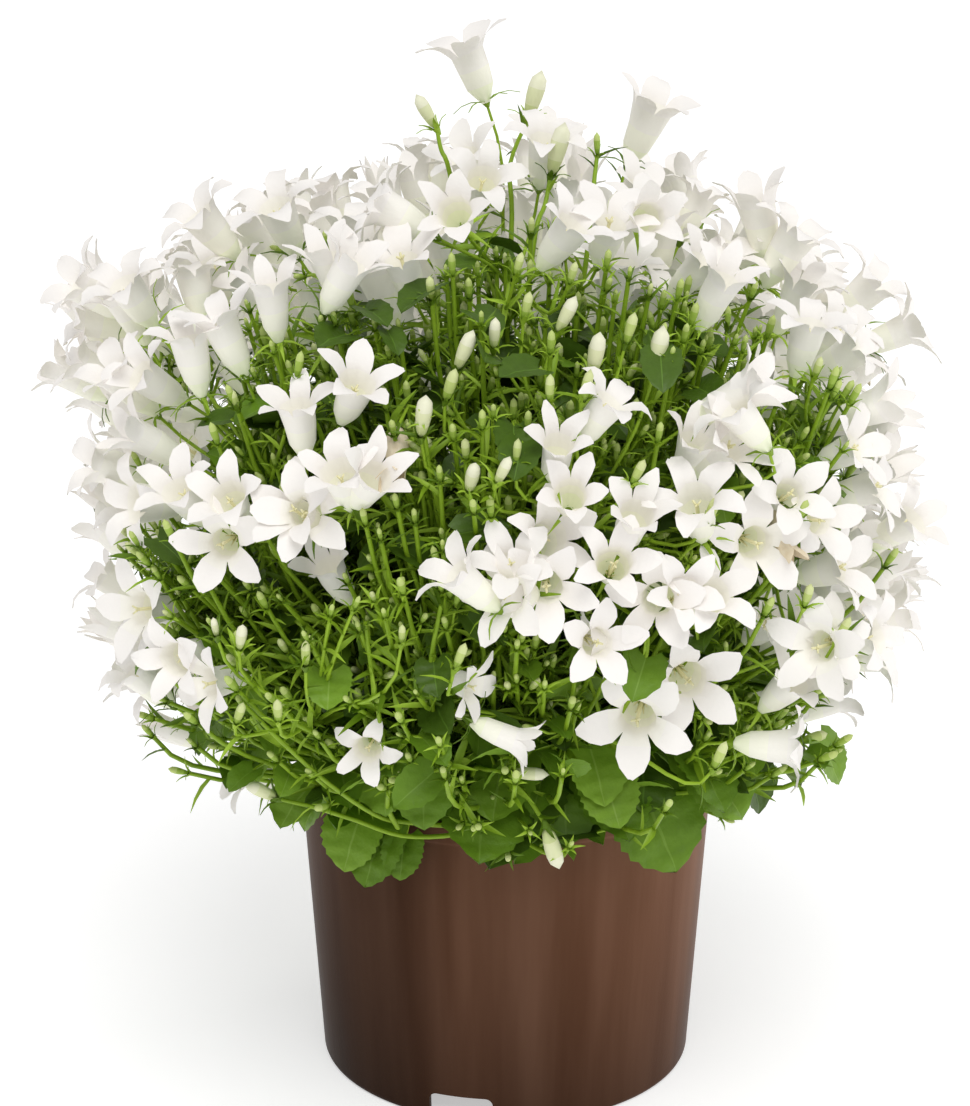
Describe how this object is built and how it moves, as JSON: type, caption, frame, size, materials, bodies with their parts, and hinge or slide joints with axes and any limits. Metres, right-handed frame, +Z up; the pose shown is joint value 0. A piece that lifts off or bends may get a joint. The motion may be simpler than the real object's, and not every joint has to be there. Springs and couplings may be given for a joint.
{
  "type": "potted bellflower",
  "caption": "Low rounded flowering pot plant covered in white open bells, with slender branching stems and heart-shaped leaves, standing in a smooth round brown pot.",
  "frame": {"origin": "middle of the underside of the pot's foot, on the ground plane", "axes": "+Z up through the pot's middle; -Y towards the side that the picture shows; +X to its right"},
  "size_m": [0.2568, 0.2601, 0.3086],
  "materials": {
    "pot": "smooth brown moulded plastic with a soft sheen and faint upright streaks",
    "soil": "damp dark peat compost, crumbly and without shine",
    "wood": "dull brown woody root crown",
    "stem": "smooth bright green herbaceous stems",
    "leaf": "mid green leaves with paler veins and a slight satin",
    "petals": "matt white petals, slightly creamy and greener towards the throat"
  },
  "bodies": {
    "root": {"pot": "pot", "potting_soil": "soil", "root_crown": "wood", "bough_skirt_1": "stem", "bough_skirt_2": "stem", "bough_skirt_3": "stem", "bough_skirt_4": "stem", "bough_skirt_5": "stem", "bough_skirt_6": "stem", "bough_skirt_7": "stem", "bough_skirt_8": "stem", "bough_low_1": "stem", "bough_low_2": "stem", "bough_low_3": "stem", "bough_low_4": "stem", "bough_low_5": "stem", "bough_low_6": "stem", "bough_low_7": "stem", "bough_low_8": "stem", "bough_middle_1": "stem", "bough_middle_2": "stem", "bough_middle_3": "stem", "bough_middle_4": "stem", "bough_middle_5": "stem", "bough_middle_6": "stem", "bough_middle_7": "stem", "bough_top_1": "stem", "bough_top_2": "stem", "bough_top_3": "stem", "bough_top_4": "stem", "mass_skirt_1": "leaf", "mass_skirt_2": "leaf", "mass_skirt_3": "leaf", "mass_skirt_4": "leaf", "mass_skirt_5": "leaf", "mass_skirt_6": "leaf", "mass_skirt_7": "leaf", "mass_skirt_8": "leaf", "mass_low_1": "petals", "mass_low_2": "petals", "mass_low_3": "petals", "mass_low_4": "petals", "mass_low_5": "petals", "mass_low_6": "petals", "mass_low_7": "petals", "mass_low_8": "petals", "mass_middle_1": "petals", "mass_middle_2": "petals", "mass_middle_3": "petals", "mass_middle_4": "petals", "mass_middle_5": "petals", "mass_middle_6": "petals", "mass_middle_7": "petals", "mass_top_1": "petals", "mass_top_2": "petals", "mass_top_3": "petals", "mass_top_4": "petals"}
  },
  "joints": []
}
